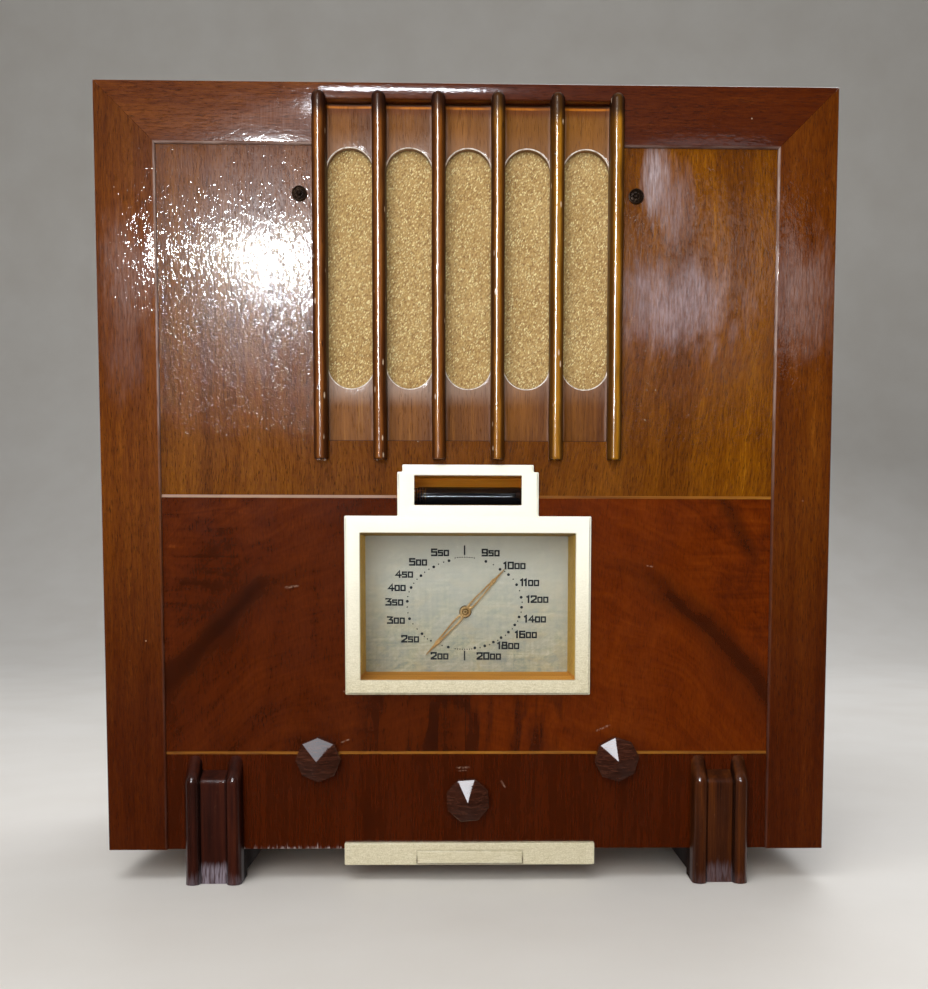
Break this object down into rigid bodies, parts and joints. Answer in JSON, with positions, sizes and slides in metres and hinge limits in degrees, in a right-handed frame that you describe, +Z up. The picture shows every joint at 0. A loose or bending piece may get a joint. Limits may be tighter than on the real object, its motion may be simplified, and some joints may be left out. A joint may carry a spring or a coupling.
{
  "type": "table radio",
  "caption": "Upright wooden table radio with a slotted speaker grille under round-fronted bars, a gilt bezel over a deep geared pointer dial, and eight-sided control knobs.",
  "frame": {"origin": "middle of the footprint's bounding box, on the surface that the feet stand on", "axes": "+X to the right as seen from the front, +Y from front to back, +Z up"},
  "size_m": [0.4444, 0.2648, 0.4815],
  "materials": {
    "side_veneer": "french polished walnut veneer, worn gloss",
    "frame_wood": "french polished solid walnut, worn gloss",
    "panel_veneer": "figured walnut veneer in three zones, gloss",
    "plywood": "bare plywood",
    "inlay": "pale stringing, gloss",
    "fret_wood": "polished walnut, satin",
    "bar_wood": "dark stained beech, gloss",
    "foot_wood": "black-brown stained wood, gloss",
    "reveal_wood": "stained card-thin wood, satin",
    "bronze": "dark bronze finish, worn",
    "brass": "turned, dull",
    "pointer_brass": "gilt, satin",
    "vane_brass": "rolled, dull",
    "grille_cloth": "gold woven grille cloth with yellow flecks",
    "gilt_enamel": "pale gold satin enamel on a casting",
    "window_glass": "clear",
    "tube_glass": "blackened tube, gloss",
    "lamp_glass": "clear lamp bulb",
    "valve_glass": "clear with silvered top",
    "dial_face": "sage grey dial enamel, printed scale",
    "zinc_steel": "zinc plated, dull",
    "bright_steel": "turned bright steel",
    "bolt_steel": "plated",
    "basket_steel": "grey enamel",
    "core_iron": "black japanned iron",
    "vane_aluminium": "rolled sheet",
    "can_aluminium": "spun can, dull",
    "knob_bakelite": "mottled brown moulding, gloss",
    "dark_bakelite": "dark brown moulding",
    "paxolin": "laminated board, satin",
    "winding_paper": "waxed wrapping paper",
    "cone_paper": "pressed paper",
    "felt": "felt ring",
    "hardboard": "pressed board, matt",
    "gland_rubber": "black rubber, matt"
  },
  "bodies": {
    "root": {"cabinet_top": "side_veneer", "cabinet_bottom": "plywood", "cabinet_side_left": "side_veneer", "cabinet_side_right": "side_veneer", "frame_top_rail": "frame_wood", "frame_stile_left": "frame_wood", "frame_stile_right": "frame_wood", "front_panel": "panel_veneer", "inlay_lines": "inlay", "grille_fret": "fret_wood", "grille_bars": "bar_wood", "panel_bolts": "bronze", "speaker_cloth": "grille_cloth", "baffle_board": "plywood", "bezel": "gilt_enamel", "base_strip": "gilt_enamel", "dial_glass": "window_glass", "dial_box": "reveal_wood", "indicator_holder": "reveal_wood", "indicator_tube": "tube_glass", "dial_plate": "dial_face", "dial_bracket": "zinc_steel", "dial_lamps": "lamp_glass", "spindle_bushes": "brass", "gang_frame": "zinc_steel", "gang_stator_vanes": "vane_aluminium", "volume_control": "dark_bakelite", "waveband_switch": "paxolin", "foot_brackets": "foot_wood", "foot_runners": "foot_wood", "chassis": "zinc_steel", "chassis_bolts": "bolt_steel", "transformer_core": "core_iron", "transformer_winding": "winding_paper", "valve_holders": "paxolin", "valve_bases": "dark_bakelite", "valve_envelopes": "valve_glass", "coil_cans": "can_aluminium", "speaker_basket": "basket_steel", "speaker_surround": "felt", "speaker_magnet": "core_iron", "speaker_bolts": "bolt_steel", "rear_cover": "hardboard", "rear_cover_screws": "brass", "socket_strip": "paxolin", "aerial_earth_sockets": "brass", "mains_gland": "gland_rubber"},
    "gang": {"gang_rotor_vanes": "vane_brass", "gang_shaft": "bright_steel", "gang_gear": "brass", "drive_disc": "bright_steel"},
    "pointer": {"pointer": "pointer_brass", "pointer_spindle": "brass"},
    "tuning": {"tuning_knob": "knob_bakelite", "tuning_spindle": "bright_steel"},
    "volume": {"volume_knob": "knob_bakelite", "volume_spindle": "bright_steel"},
    "waveband": {"waveband_knob": "knob_bakelite", "waveband_spindle": "bright_steel"},
    "cone": {"speaker_cone": "cone_paper"}
  },
  "joints": [
    {"name": "gang_turn", "type": "hinge", "parent": "root", "child": "gang", "pos_m": [-0.0016, -0.0589, 0.1239], "axis": [0, 1, 0], "range_deg": [-137, 42]},
    {"name": "pointer_turn", "type": "hinge", "parent": "root", "child": "pointer", "pos_m": [-0.0016, -0.0709, 0.1659], "axis": [0, 1, 0], "range_deg": [-42, 137]},
    {"name": "tuning_turn", "type": "hinge", "parent": "root", "child": "tuning", "pos_m": [0, -0.0489, 0.0523], "axis": [0, 1, 0], "range_deg": [-463, 1508]},
    {"name": "volume_turn", "type": "hinge", "parent": "root", "child": "volume", "pos_m": [-0.092, -0.0489, 0.0765], "axis": [0, 1, 0], "range_deg": [-135, 135]},
    {"name": "waveband_turn", "type": "hinge", "parent": "root", "child": "waveband", "pos_m": [0.092, -0.0489, 0.0765], "axis": [0, 1, 0], "range_deg": [0, 60]},
    {"name": "cone_travel", "type": "slide", "parent": "root", "child": "cone", "axis": [0, 1, 0], "range_m": [-0.0015, 0.0015], "stiffness_N_per_m": 2500}
  ],
  "couplings": [
    {"joint": "pointer_turn", "follows": "gang_turn", "ratio": -1},
    {"joint": "tuning_turn", "follows": "gang_turn", "ratio": -11}
  ]
}
